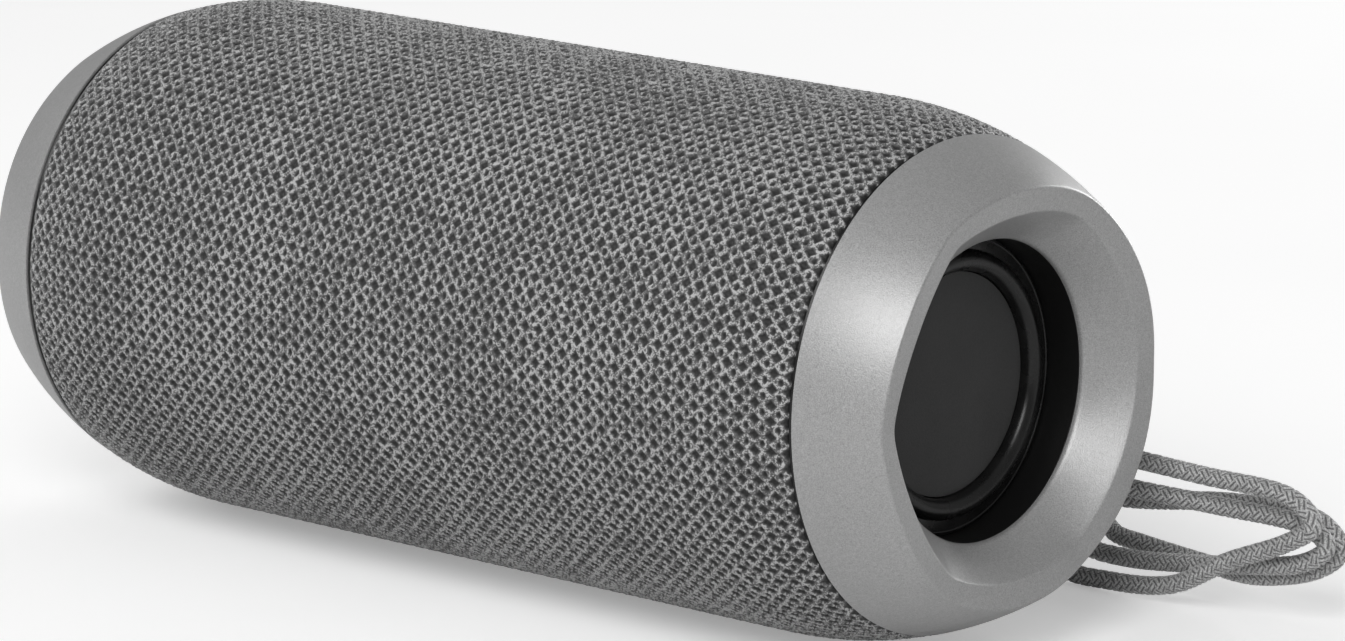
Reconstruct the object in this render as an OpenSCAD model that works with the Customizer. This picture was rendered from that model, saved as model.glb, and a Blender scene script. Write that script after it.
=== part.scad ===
// Portable speaker: a fabric covered barrel with a passive radiator in each end,
// two forward facing drivers, a rear control strip and a cord strap.
// X runs along the barrel, -Y is the front, +Y the rear, Z is up.
// The origin is on the table, under the middle of the barrel.

/* [Barrel] */
// Outside diameter of the fabric
barrel_d = 72; // [71:0.5:74]
// Distance from the middle to where each end starts to curve in
curve_start = 51.7; // [51.5:0.1:52]
// Radius of the curve that closes each end
curve_r = 57.9; // [57:0.1:60]
// Distance from the middle to the joint between fabric and end cap
seam_x = 70; // [69.9:0.05:70.1]
// Thickness of the fabric sleeve
fabric_t = 0.8; // [0.6:0.1:0.8]
// Wall thickness of the chassis tube
wall = 2.2; // [2:0.1:2.4]
// How far the foot stands out below the fabric
foot_h = 0.4; // [0.3:0.1:0.8]

/* [End caps] */
// Distance from the middle to the top of the crest ring
crest_x = 81.4; // [81.2:0.1:81.6]
// Radius of the rounding along the crest ring
crest_round = 2.5; // [2.3:0.1:2.7]
// Radius of the round opening in an end cap
opening_r = 20; // [19.8:0.1:20.1]
// Distance from the middle to the plane of the opening
opening_x = 75.2; // [75:0.1:75.4]

/* [Passive radiators] */
// Radius of the flat disc
disc_r = 14.85; // [14:0.05:14.9]
// Distance from the middle to the face of the disc
disc_x = 68.9; // [68.8:0.1:69]
// Greatest travel of the disc each way
disc_travel = 1.5; // [0.5:0.1:1.5]

/* [Drivers] */
// Distance from the middle to each driver's axis
driver_x = 29; // [28:0.5:30]
// Radius of a driver's flange
driver_r = 22.5; // [22:0.1:22.6]
// Distance from the barrel's axis to the front face of the baffle
baffle_y = 24; // [23.8:0.1:24.1]

/* [Controls] */
// Radius of a button
button_r = 4; // [3.6:0.1:4.2]
// Distance between neighbouring buttons
button_pitch = 10.5; // [10.2:0.1:10.6]
// Travel of a button
button_travel = 0.4; // [0.2:0.05:0.4]

/* [Strap] */
// Radius of the cord
cord_r = 1.3; // [1:0.1:1.35]
// Height of the strap lug above the table
lug_z = 17.5; // [17:0.5:18]

/* [Hidden] */
$fn = 96;
axis_z = barrel_d / 2 + foot_h;
gap = 0.05;                                  // clearance between parts that touch
skin = fabric_t + gap;                       // fabric and its clearance over the chassis
chassis_end = seam_x - 0.6;                  // the chassis and the sleeve end here
cavity_r = barrel_d / 2 - skin - wall;
end_bore_r = 30;                             // bore that takes an end cap's spigot
curve_steps = 8;
window_gap = 0.15;                           // clearance round what passes through the sleeve
panel_half = 50;                             // half length of the control panel
panel_h = 20;
panel_proud = 0.6;
panel_r = barrel_d / 2 + panel_proud;
pocket_x = 27;                               // middle of the pocket for the port cover
pocket_w = 38;
pocket_h = 14;
pocket_floor_r = panel_r - 2;
button_x0 = -42;
board_y = 22;                                // front face of the main board
board_t = 1.6;
board_back = board_y + board_t + gap;
board_screw_x = 46;
board_screw_z = 14;
switch_top = board_back + 4.95;
battery_y = 10;
battery_z = -12;
battery_r = 9.2;
chassis_screw_x = [-58, 0, 58];
chassis_screw_z = 29;
flange_r = 27.5;                             // outside of the radiator's frame
cap_screw_r = 24.8;                          // circle of the radiator screws
driver_screw_r = 20.9;                       // circle of the driver screws
pin_x = 56;                                  // strap pin, an upright
pin_y = 38.2;
pin_r = 0.9;
cord_pitch = 2 * cord_r + 0.15;
lug_w = 10;
lug_h = 12;
ear_z = 1.5 * cord_pitch + 1.1;              // from the middle of the lug to an ear's middle
ear_t = 1.4;
lug_seat_y = 26;                             // the head of the lug's screw rests here
usb_c_x = 14;
aux_x = 23.5;
usb_a_at = [38, -2.4];                       // x, and height from the barrel's axis
card_at = [38, 3.9];
light_at = [6.3, 3];
mic_at = [6.3, -3];
foot_half = 35;
foot_w = 10;

// ---- Frames of reference ----

// Children drawn around the barrel's axis instead of the table
module on_axis() {
    translate([0, 0, axis_z]) children();
}

// Children drawn with their own Z pointing out of the end on side -1 or 1
module at_end(side) {
    on_axis() mirror([side < 0 ? 1 : 0, 0, 0]) rotate([0, 90, 0]) children();
}

// Children drawn with their own Z pointing out of the front, on a driver's axis
module at_driver(side) {
    translate([side * driver_x, 0, axis_z]) rotate([90, 0, 0]) children();
}

// Children drawn with their own Z pointing out of the rear, at x and height z
module at_rear(x, z = 0) {
    translate([x, 0, axis_z + z]) rotate([-90, 0, 0]) children();
}

// ---- Shared shapes ----

// Radius of the barrel's outside at distance x from the middle
function barrel_radius(x) = abs(x) <= curve_start ? barrel_d / 2
    : barrel_d / 2 - curve_r + sqrt(pow(curve_r, 2) - pow(abs(x) - curve_start, 2));

// Points along the closing curve, as [distance from the middle, radius]
function end_curve(x_end, inset) = [for (i = [0 : curve_steps])
    let (x = curve_start + (x_end - curve_start) * i / curve_steps) [x, barrel_radius(x) - inset]];

// A solid of revolution about X from an outline of [x, radius] points
module revolve_x(outline) {
    rotate([0, 90, 0]) rotate_extrude() polygon([for (p = outline) [p[1], p[0]]]);
}

// The barrel's envelope, drawn in by inset, out to half_length each way
module barrel(inset, half_length) {
    right = end_curve(half_length, inset);
    left = [for (i = [curve_steps : -1 : 0]) [-right[i][0], right[i][1]]];
    revolve_x(concat([[-half_length, 0]], left, right, [[half_length, 0]]));
}

// A round bar along X
module bar_x(r, half_length) {
    rotate([0, 90, 0]) cylinder(r = r, h = 2 * half_length, center = true);
}

// A tube standing on its own Z
module tube(r_out, r_in, low, high) {
    translate([0, 0, low]) difference() {
        cylinder(r = r_out, h = high - low);
        translate([0, 0, -1]) cylinder(r = r_in, h = high - low + 2);
    }
}

// A cylinder between two heights on its own Z
module rod(r, low, high) {
    translate([0, 0, low]) cylinder(r = r, h = high - low);
}

// A block centred on Z, between two heights
module block(w, d, low, high) {
    translate([-w / 2, -d / 2, low]) cube([w, d, high - low]);
}

// A plate outline with round corners
module rounded_plate(w, h, r) {
    square([w - 2 * r, h], center = true);
    square([w, h - 2 * r], center = true);
    for (x = [-1, 1], y = [-1, 1])
        translate([x * (w / 2 - r), y * (h / 2 - r)]) circle(r = r);
}

// Children copied to the four diagonals of a circle
module four_around(r) {
    for (a = [45 : 90 : 315]) rotate(a) translate([r, 0]) children();
}

// A round headed screw along Z, its head resting at height seat and its tip at tip
module screw(r, seat, tip) {
    head_h = 1.2 * r;
    rod(r, min(seat, tip), max(seat, tip));
    rod(2 * r, seat < tip ? seat - head_h : seat, seat < tip ? seat : seat + head_h);
}

// A rubber half roll between two radii, with a flat foot outside it
module half_roll(r_in, r_out, foot_r, t, height) {
    mid = (r_in + r_out) / 2;
    roll = (r_out - r_in) / 2;
    rotate_extrude() {
        translate([mid, height]) difference() {
            circle(r = roll);
            circle(r = roll - t);
            translate([-roll - 1, -2 * roll]) square([2 * roll + 2, 2 * roll]);
        }
        translate([r_in, height - 3 * t]) square([t, 3 * t + 0.01]);
        translate([r_out - t, height - t]) square([foot_r - r_out + t, t + 0.01]);
    }
}

// A smooth curve through a list of points
function spline(p, closed, steps) = let (n = len(p), spans = closed ? n : n - 1) concat(
    [for (i = [0 : spans - 1], j = [0 : steps - 1]) spline_at(p, i, j / steps, closed)],
    closed ? [] : [p[n - 1]]);
function point_of(p, i, closed) = closed ? p[(i + len(p)) % len(p)] : p[max(0, min(len(p) - 1, i))];
function spline_at(p, i, t, closed) = let (
    a = point_of(p, i - 1, closed),
    b = point_of(p, i, closed),
    c = point_of(p, i + 1, closed),
    d = point_of(p, i + 2, closed))
    b + t / 2 * (c - a + t * (2 * a - 5 * b + 4 * c - d + t * (3 * b - a - 3 * c + d)));
function unit(v) = v / norm(v);

// A round cord that follows a path; side_ref is a direction the path never takes
module cord(path, r, closed, side_ref = [1, 1, 1], sides = 8) {
    n = len(path);
    points = [for (i = [0 : n - 1]) let (
        along = unit(point_of(path, i + 1, closed) - point_of(path, i - 1, closed)),
        across = unit(cross(along, side_ref)),
        over = cross(along, across))
        for (j = [0 : sides - 1]) let (turn = 360 * j / sides)
            path[i] + r * (cos(turn) * across + sin(turn) * over)];
    skin_faces = [for (i = [0 : closed ? n - 1 : n - 2], j = [0 : sides - 1]) let (
        a = i * sides + j,
        b = i * sides + (j + 1) % sides,
        c = ((i + 1) % n) * sides + j,
        d = ((i + 1) % n) * sides + (j + 1) % sides)
        each [[a, c, b], [b, c, d]]];
    caps = closed ? [] : [[for (j = [0 : sides - 1]) j],
        [for (j = [sides - 1 : -1 : 0]) (n - 1) * sides + j]];
    polyhedron(points, concat(skin_faces, caps));
}

// ---- Barrel ----

module fabric_sleeve() color("dimgray") difference() {
    on_axis() barrel(0, chassis_end);
    on_axis() barrel(fabric_t, chassis_end + 1);
    panel_window(window_gap);
    lug_window(window_gap);
    block(2 * (foot_half + window_gap), foot_w + 2 * window_gap, -1, axis_z - cavity_r);
}

// The opening at the rear for the control panel, with a clearance all round
module panel_window(clearance) {
    at_rear(0) translate([0, 0, cavity_r - 8]) linear_extrude(height = 20)
        rounded_plate(2 * (panel_half + clearance), panel_h + 2 * clearance, 4);
}

// The opening at the rear for the foot of the strap lug
module lug_window(clearance) {
    translate([pin_x, 0, lug_z]) rotate([-90, 0, 0])
        block(lug_w + 2 * clearance, lug_h + 2 * clearance, 15, 40);
}

// The chassis tube before it is split into a front and a rear shell
module chassis_tube() difference() {
    barrel(skin, chassis_end);
    revolve_x([[-chassis_end - 1, 0], [-chassis_end - 1, end_bore_r], [-60, end_bore_r],
        [-54, cavity_r], [54, cavity_r], [60, end_bore_r], [chassis_end + 1, end_bore_r],
        [chassis_end + 1, 0]]);
}

// Screw bosses that join the two shells; dir is -1 for the front shell, 1 for the rear one
module chassis_bosses(dir, length) {
    intersection() {
        barrel(skin, chassis_end);
        for (x = chassis_screw_x, z = [-1, 1])
            translate([x, 0, z * chassis_screw_z]) rotate([-90 * dir, 0, 0]) rod(3.2, gap, length);
    }
}

module chassis_front() color("black") difference() {
    on_axis() union() {
        intersection() {
            chassis_tube();
            translate([-80, -60, -50]) cube([160, 60 - gap, 100]);
        }
        intersection() {
            bar_x(cavity_r + 0.5, 54);
            translate([-54, -baffle_y, -40]) cube([108, 2.4, 80]);
        }
        chassis_bosses(-1, 9);
    }
    for (side = [-1, 1]) at_driver(side) {
        rod(driver_r + 0.5, baffle_y, 50);
        rod(20.3, baffle_y - 5, 50);
        four_around(driver_screw_r) rod(0.85, 10, 50);
    }
    on_axis() for (x = chassis_screw_x, z = [-1, 1])
        translate([x, 0, z * chassis_screw_z]) rotate([90, 0, 0]) rod(1.05, -1, 8);
}

module chassis_rear() color("black") difference() {
    on_axis() union() {
        intersection() {
            chassis_tube();
            translate([-80, gap, -50]) cube([160, 60, 100]);
        }
        chassis_bosses(1, 30);
        intersection() {
            barrel(skin, chassis_end);
            union() {
                for (x = [-1, 1], z = [-1, 1])
                    translate([x * board_screw_x, 0, z * board_screw_z]) rotate([-90, 0, 0])
                        rod(2.4, board_back, 40);
                translate([pin_x, 0, lug_z - axis_z]) rotate([-90, 0, 0]) rod(3.4, lug_seat_y, 40);
            }
        }
    }
    panel_window(window_gap);
    on_axis() for (x = chassis_screw_x, z = [-1, 1])
        translate([x, 0, z * chassis_screw_z]) rotate([-90, 0, 0]) {
            rod(1.1, -1, 40);
            rod(2.3, 8, 40);
        }
    for (x = [-1, 1], z = [-1, 1])
        at_rear(x * board_screw_x, z * board_screw_z) rod(0.85, 20, 28.5);
    translate([pin_x, 0, lug_z]) rotate([-90, 0, 0]) {
        rod(1.1, 20, 40);
        rod(2.3, 20, lug_seat_y);
    }
}

module rubber_foot() color("darkslategray") difference() {
    block(2 * foot_half, foot_w, 0, 5);
    on_axis() bar_x(barrel_d / 2 - fabric_t, foot_half + 1);
}

// ---- Ends ----

// Outline of an end cap as [distance from the middle, radius]
function cap_outline() = let (
    slope = asin((crest_x - crest_round - curve_start) / (curve_r - crest_round)),
    round_x = crest_x - crest_round,
    round_r = barrel_d / 2 - curve_r + (curve_r - crest_round) * cos(slope),
    reach = norm([round_x - opening_x, round_r - opening_r]),
    inner = 180 + atan2(round_x - opening_x, round_r - opening_r) - acos(crest_round / reach),
    outside = [for (i = [0 : curve_steps])
        let (a = asin((seam_x - curve_start) / curve_r) * (1 - i / curve_steps) + slope * i / curve_steps)
        [curve_start + curve_r * sin(a), barrel_d / 2 - curve_r + curve_r * cos(a)]],
    crest = [for (i = [1 : 6]) let (a = slope + (inner - slope) * i / 6)
        [round_x + crest_round * sin(a), round_r + crest_round * cos(a)]])
    concat(outside, crest, [[opening_x, opening_r], [opening_x - 0.5, opening_r],
        [opening_x - 0.5, 21.5], [70.1, 21.5],
        [70.1, flange_r + 0.1], [63, flange_r + 0.1], [63, end_bore_r - 0.1],
        [seam_x, end_bore_r - 0.1]]);

module end_cap(side) color("silver") at_end(side) difference() {
    rotate_extrude() polygon([for (p = cap_outline()) [p[1], p[0]]]);
    difference() {
        tube(27.3, 22.9, 70, 74.5);
        four_around(cap_screw_r) rod(2.3, 60, 80);
    }
    four_around(cap_screw_r) rod(1.05, 60, 74);
}

module seam_ring(side) color("black") at_end(side)
    tube(barrel_radius(seam_x) - 0.35, end_bore_r + 0.1, chassis_end + gap, seam_x - gap);

module radiator_frame(side) color("black") at_end(side) difference() {
    union() {
        tube(flange_r, 18.6, 66, disc_x);
        tube(flange_r, opening_r + 0.06, disc_x, seam_x);
        tube(21.4, opening_r + 0.06, seam_x, opening_x - 0.6);
    }
    four_around(cap_screw_r) rod(1.1, 60, 80);
}

module radiator_surround(side) color("black") at_end(side)
    half_roll(disc_r + 0.15, 19, opening_r, 0.5, disc_x + gap + 0.5);

// The disc is as thick as its whole travel, so its edge never leaves the surround
module radiator_disc(side) color("dimgray") at_end(side) rod(disc_r, disc_x - 2 * disc_travel, disc_x);

module radiator_screws() color("gray") for (side = [-1, 1])
    at_end(side) four_around(cap_screw_r) screw(1, 66 - gap, 73);

// ---- Drivers ----

module driver_basket(side) color("dimgray") at_driver(side) difference() {
    rotate_extrude() polygon([[8.2, 11.05], [14.8, 11.05], [20.1, 18.5], [20.1, baffle_y + 0.55],
        [driver_r, baffle_y + 0.55], [driver_r, baffle_y + 1.5], [19.5, baffle_y + 1.5],
        [19.5, 18.8], [14.4, 12], [8.2, 12]]);
    four_around(driver_screw_r) rod(0.9, 20, 40);
    for (a = [0 : 90 : 270]) rotate(a) translate([17, 0, 0]) block(9, 12, 13.5, 17.5);
}

module driver_magnet(side) color("dimgray") at_driver(side) difference() {
    rod(14.4, 2, 11);
    tube(8, 6.3, 4.5, 12);
}

module driver_gasket(side) color("black") at_driver(side) difference() {
    tube(22.4, 20.35, baffle_y + gap, baffle_y + 0.5);
    four_around(driver_screw_r) rod(0.9, 20, 40);
}

module driver_surround(side) color("black") at_driver(side)
    half_roll(16.3, 19.2, 19.45, 0.4, baffle_y + 1.4);

module driver_spider(side) color("goldenrod") at_driver(side) tube(14.5, 7.5, 12.3, 12.7);

module driver_cone(side) color("black") at_driver(side) rotate_extrude()
    polygon([[7, 14.05], [7.6, 14.05], [16.15, 22.9], [16.15, 24.9], [15.75, 24.9], [15.75, 23.4],
        [7, 14.7]]);

module dust_cap(side) color("gray") at_driver(side) rotate_extrude() {
    dome = [for (i = [0 : 6]) [8.2 * i / 6, 16.4 + 2.4 * cos(15 * i)]];
    polygon(concat(dome, [for (i = [6 : -1 : 0]) dome[i] - [0, 0.4]]));
}

module voice_coil(side) color("chocolate") at_driver(side) tube(7.35, 6.75, 6.5, 14);

module driver_screws() color("gray") for (side = [-1, 1])
    at_driver(side) four_around(driver_screw_r) screw(0.8, baffle_y + 1.5 + gap, 21.9);

// ---- Rear controls ----

module control_panel() color("dimgray") difference() {
    intersection() {
        on_axis() bar_x(panel_r, panel_half);
        panel_window(0);
    }
    on_axis() bar_x(cavity_r + gap, panel_half + 1);
    difference() {
        at_rear(pocket_x) linear_extrude(height = 50) rounded_plate(pocket_w, pocket_h, 2);
        on_axis() bar_x(pocket_floor_r, panel_half + 1);
    }
    for (i = [0 : 4]) at_rear(button_x0 + i * button_pitch) rod(button_r + 0.08, 20, 50);
    at_rear(light_at[0], light_at[1]) rod(1, 20, 50);
    at_rear(mic_at[0], mic_at[1]) rod(0.5, 20, 50);
    at_rear(usb_c_x) block(9.4, 3.6, 20, 50);
    at_rear(aux_x) rod(3, 20, 50);
    at_rear(usb_a_at[0], usb_a_at[1]) block(13.5, 6.1, 20, 50);
    at_rear(card_at[0], card_at[1]) block(11.6, 1.2, 20, 50);
}

// A push button; its mark is the children, raised on its face
module button(index) color("silver") at_rear(button_x0 + index * button_pitch) {
    face = panel_r + 0.6;
    rod(1.6, switch_top + button_travel + 0.1, 32);
    rod(button_r + 0.8, 31.6, 32.4);
    rod(button_r, 32.4, face);
    translate([0, 0, face - 0.01]) linear_extrude(height = 0.21) children();
}

module button_mode() button(0) difference() {
    circle(r = 1.6);
    circle(r = 1.1);
}
module button_volume_down() button(3) square([3.2, 0.6], center = true);
module button_play() button(2) rotate(180) circle(r = 1.8, $fn = 3);
module button_volume_up() button(1) {
    square([3.2, 0.6], center = true);
    square([0.6, 3.2], center = true);
}
module button_power() button(4) {
    difference() {
        circle(r = 1.7);
        circle(r = 1.2);
        translate([-0.7, -3]) square([1.4, 3]);
    }
    translate([-0.25, -1.9]) square([0.5, 1.6]);
}

module port_cover() color("black") difference() {
    intersection() {
        on_axis() bar_x(panel_r, panel_half);
        at_rear(pocket_x) linear_extrude(height = 50) rounded_plate(pocket_w - 0.3, pocket_h - 0.3, 1.8);
    }
    on_axis() bar_x(pocket_floor_r + 0.15, panel_half + 1);
}

module light_guide() color("white") at_rear(light_at[0], light_at[1]) rod(0.95, board_back + 1.4, panel_r);

module main_board() color("darkgreen") difference() {
    at_rear(0) translate([0, 0, board_y]) linear_extrude(height = board_t) rounded_plate(100, 34, 2);
    for (x = [-1, 1], z = [-1, 1]) at_rear(x * board_screw_x, z * board_screw_z) rod(1, 20, 30);
}

module tact_switches() color("gray") for (i = [0 : 4]) at_rear(button_x0 + i * button_pitch) {
    block(6, 6, board_back, board_back + 3.8);
    rod(1.75, board_back + 3, switch_top);
}

// A metal socket shell with an open mouth and a tongue in the middle
module socket(w, h, mouth, wall_t, tongue) {
    difference() {
        block(w, h, board_back, mouth);
        block(w - 2 * wall_t, h - 2 * wall_t, board_back + 2, mouth + 1);
    }
    block(w - 4 * wall_t, tongue, board_back + 1, mouth - 1.2);
}

module usb_c_socket() color("silver") at_rear(usb_c_x) socket(8.9, 3.2, 33.6, 0.3, 0.7);
module usb_a_socket() color("silver") at_rear(usb_a_at[0], usb_a_at[1]) socket(13.1, 5.7, 33.4, 0.4, 1.8);

module aux_socket() color("dimgray") at_rear(aux_x) difference() {
    union() {
        block(7, 7, board_back, 32);
        rod(2.9, 31, 34.3);
    }
    rod(1.8, 26, 40);
}

module card_socket() color("silver") at_rear(card_at[0], card_at[1]) difference() {
    block(14, 1.9, board_back, 32.1);
    block(11.2, 0.9, board_back + 2, 40);
}

module bluetooth_module() color("silver") at_rear(-30, 4) block(16, 12, board_y - 2.3, board_y - gap);
module amplifier_chip() color("black") at_rear(14, 8) block(7, 7, board_y - 1.3, board_y - gap);
module capacitors() color("midnightblue") for (x = [-10, -2])
    at_rear(x, 9) rod(3.1, board_y - 8, board_y - gap);
module microphone() color("silver") at_rear(mic_at[0], mic_at[1]) rod(1.9, board_back, board_back + 1.6);
module battery_connector() color("white") at_rear(40, -8) block(6, 5, board_y - 5, board_y - gap);

// ---- Power and wiring ----

module battery_cell() color("steelblue") translate([0, battery_y, axis_z + battery_z]) {
    bar_x(battery_r, 32.5);
    translate([33, 0, 0]) bar_x(2.5, 0.6);
}

module battery_cradle() color("black") translate([0, battery_y, axis_z + battery_z]) difference() {
    union() {
        bar_x(battery_r + 1.6, 30);
        intersection() {
            for (x = [-18, 18]) translate([x - 2, -4, -25]) cube([4, 8, 22]);
            translate([0, -battery_y, -battery_z]) bar_x(cavity_r - gap, 40);
        }
    }
    bar_x(battery_r + gap, 31);
    translate([-31, -20, -3]) cube([62, 40, 20]);
}

module battery_wires() color("firebrick") for (s = [-1, 1]) {
    end = [39.8 - s, board_y - 5.8, axis_z - 8];
    start = [34.6, battery_y + 3 * s, axis_z + battery_z + 2];
    cord(spline([start, start + [3, 0, 1], end - [0, 3, 0], end], false, 4), 0.6, false, [1, 0.3, 5]);
}

module speaker_wires() color("firebrick") for (side = [-1, 1], s = [-1, 1]) {
    start = [side * driver_x + 1.2 * s, -13, axis_z + 19];
    end = [side * 22 + 1.2 * s, board_y - 0.8, axis_z + 14];
    cord(spline([start, start + [0, 8, 2], end + [0, -9, 6], end], false, 5), 0.6, false, [5, 0, 1]);
}

// ---- Strap ----

module strap_lug() color("dimgray") difference() {
    union() {
        intersection() {
            lug_window(0);
            on_axis() barrel(-0.8, 75);
        }
        for (z = [-1, 1]) translate([pin_x, 0, lug_z + z * ear_z]) {
            translate([-3, 20, -ear_t / 2]) cube([6, pin_y - 20, ear_t]);
            translate([0, pin_y, 0]) cylinder(r = 3, h = ear_t, center = true);
        }
    }
    on_axis() barrel(skin - gap, 75);
    translate([pin_x, pin_y, 0]) cylinder(r = pin_r + gap, h = 60);
    translate([pin_x, 0, lug_z]) rotate([-90, 0, 0]) rod(1.05, 20, 32.5);
    translate([pin_x, pin_y, lug_z]) cylinder(r = 4.2, h = 2 * ear_z - ear_t - 0.1, center = true);
}

module strap_pin() color("silver") translate([pin_x, pin_y, lug_z])
    cylinder(r = pin_r, h = 2 * ear_z + ear_t - 0.1, center = true);

// Middle of the cord in turn t: round the pin, out past the end cap, and back along the table.
// The top turn is nearest the barrel, and the others lie behind it.
function strap_turn(t) = let (
    top = lug_z + (1 - t) * cord_pitch,
    wrap = pin_r + cord_r + 0.3,
    far_y = pin_y - 1.2 + 3.1 * t,
    low_y = pin_y + 1.6 + 3.6 * t,
    low_z = [1.5, 4, 5.3][t])
    [[pin_x, pin_y - wrap, top], [pin_x + 12, pin_y - [1.7, 1.1, -1.5][t], [20.2, 15.9, 13.5][t]],
    [pin_x + 27, far_y - 0.4, [19.7, 15, 14.9][t]], [pin_x + 40, far_y, [19.2, 14.7, 15][t]],
    [pin_x + 44.6, far_y + 0.2, [15.8, 12.2, 11.2][t]], [pin_x + 40, far_y + 0.4, [12.4, 9, 7.4][t]],
    [pin_x + 30, far_y + 1.2, [8.1, 7, 4.9][t]], [pin_x + 20, low_y - 0.6, [3, 5.2, 4.6][t]],
    [pin_x + 9, low_y, low_z], [pin_x + [-0.6, 1, 3.5][t], low_y + 0.6, low_z + 0.6],
    [pin_x - [5, 3, -1.4][t], pin_y + [4.2, 7.2, 8.4][t], 8.5 + 0.5 * t],
    [pin_x - [5.2, 2.8, -1.4][t], pin_y + [4.4, 6.8, 6.6][t], [17.6, 14.7, 12.8][t]],
    [pin_x - [3, 2.5, 2.2][t], pin_y + 2.2, top - 0.1 * t], [pin_x - 2.5, pin_y - 0.8, top]];

module strap_cord() color("gray") for (t = [0 : 2])
    cord(spline(strap_turn(t), true, 4), cord_r, true);

// ---- Fasteners ----

module chassis_screws() color("gray") on_axis() for (x = chassis_screw_x, z = [-1, 1])
    translate([x, 0, z * chassis_screw_z]) rotate([-90, 0, 0]) screw(1, 8 + gap, -6.5);

module inner_screws() color("gray") {
    for (x = [-1, 1], z = [-1, 1])
        at_rear(x * board_screw_x, z * board_screw_z) screw(0.8, board_y - gap, 28);
    translate([pin_x, 0, lug_z]) rotate([-90, 0, 0]) screw(1, lug_seat_y - gap, 32);
}

fabric_sleeve();
chassis_front();
chassis_rear();
end_cap(-1);  // end_cap_left
end_cap(1);  // end_cap_right
seam_ring(-1);  // seam_ring_left
seam_ring(1);  // seam_ring_right
radiator_frame(-1);  // radiator_frame_left
radiator_frame(1);  // radiator_frame_right
radiator_surround(-1);  // radiator_surround_left
radiator_surround(1);  // radiator_surround_right
radiator_disc(-1);  // radiator_disc_left
radiator_disc(1);  // radiator_disc_right
driver_basket(-1);  // driver_basket_left
driver_basket(1);  // driver_basket_right
driver_magnet(-1);  // driver_magnet_left
driver_magnet(1);  // driver_magnet_right
driver_gasket(-1);  // driver_gasket_left
driver_gasket(1);  // driver_gasket_right
driver_surround(-1);  // driver_surround_left
driver_surround(1);  // driver_surround_right
driver_spider(-1);  // driver_spider_left
driver_spider(1);  // driver_spider_right
driver_cone(-1);  // driver_cone_left
driver_cone(1);  // driver_cone_right
dust_cap(-1);  // dust_cap_left
dust_cap(1);  // dust_cap_right
voice_coil(-1);  // voice_coil_left
voice_coil(1);  // voice_coil_right
control_panel();
button_mode();
button_volume_down();
button_play();
button_volume_up();
button_power();
port_cover();
light_guide();
main_board();
tact_switches();
usb_c_socket();
usb_a_socket();
aux_socket();
card_socket();
bluetooth_module();
amplifier_chip();
capacitors();
microphone();
battery_connector();
battery_cell();
battery_cradle();
battery_wires();
speaker_wires();
rubber_foot();
strap_lug();
strap_pin();
strap_cord();
chassis_screws();
radiator_screws();
driver_screws();
inner_screws();
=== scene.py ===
"""Looks of a portable speaker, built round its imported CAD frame.

Sizes are in millimetres. MM turns them into the frame's metres.
"""

import math

import bpy
import numpy as np
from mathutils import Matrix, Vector


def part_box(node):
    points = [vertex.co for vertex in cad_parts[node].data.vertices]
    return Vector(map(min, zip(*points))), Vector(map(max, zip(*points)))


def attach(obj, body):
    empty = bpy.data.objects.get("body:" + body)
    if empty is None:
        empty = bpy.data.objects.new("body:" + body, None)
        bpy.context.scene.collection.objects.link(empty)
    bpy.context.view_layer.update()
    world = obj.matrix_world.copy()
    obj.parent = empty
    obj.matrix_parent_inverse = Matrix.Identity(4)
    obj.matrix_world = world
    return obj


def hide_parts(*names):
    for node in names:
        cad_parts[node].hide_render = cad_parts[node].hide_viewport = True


MM = 0.001
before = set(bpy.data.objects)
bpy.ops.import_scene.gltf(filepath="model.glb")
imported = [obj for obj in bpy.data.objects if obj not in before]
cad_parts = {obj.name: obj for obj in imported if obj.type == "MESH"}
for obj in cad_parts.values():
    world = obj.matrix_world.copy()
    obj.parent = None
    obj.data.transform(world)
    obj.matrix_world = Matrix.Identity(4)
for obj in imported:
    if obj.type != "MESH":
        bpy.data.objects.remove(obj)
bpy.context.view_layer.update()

# ---- Sizes read from the frame ----

SLEEVE_LOW, SLEEVE_HIGH = (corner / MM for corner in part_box("fabric_sleeve"))
BARREL_R = (SLEEVE_HIGH.y - SLEEVE_LOW.y) / 2
SLEEVE_END = SLEEVE_HIGH.x
AXIS_Z = SLEEVE_HIGH.z - BARREL_R
CREST_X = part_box("end_cap_right")[1].x / MM
DISC_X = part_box("radiator_disc_right")[1].x / MM
SKIRT_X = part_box("radiator_surround_right")[0].x / MM
FOOT_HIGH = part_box("rubber_foot")[1] / MM
PIN_LOW, PIN_HIGH = (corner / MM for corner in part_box("strap_pin"))
PIN_X = (PIN_LOW.x + PIN_HIGH.x) / 2
PIN_Y = (PIN_LOW.y + PIN_HIGH.y) / 2
LUG_Z = (PIN_LOW.z + PIN_HIGH.z) / 2
PIN_R = (PIN_HIGH.x - PIN_LOW.x) / 2

# ---- Design values the boxes don't show, as in the CAD source, in mm ----

CURVE_START = 51.7      # each end starts to curve in here
CURVE_R = 57.9
SEAM_X = 70.0           # the joint between fabric and end cap
OPENING_X = 75.2
OPENING_R = 20.0
COLLAR_X = 74.7         # the black collar ends just behind this
COLLAR_R = 21.5
SEAT_X = 70.1           # the radiator's frame seats against the cap here
HOLLOW_X = 74.5         # a hollow under the crest reaches out to here
HOLLOW_R = (22.9, 27.3)
FLANGE_R = 27.6
SPIGOT_X = 63.0
SPIGOT_R = 29.9
SEAM_GAP = 0.02
FABRIC_T = 0.8
WINDOW_GAP = 0.15
PANEL_HALF = 50.0
PANEL_H = 20.0
PANEL_CORNER = 4.0
COVER_T = 1.85          # thickness of the port cover
LUG_W = 10.0
LUG_H = 12.0
CORD_R = 1.3
CORD_PITCH = 2 * CORD_R + 0.15


# ---- Mesh helpers ----

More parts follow.
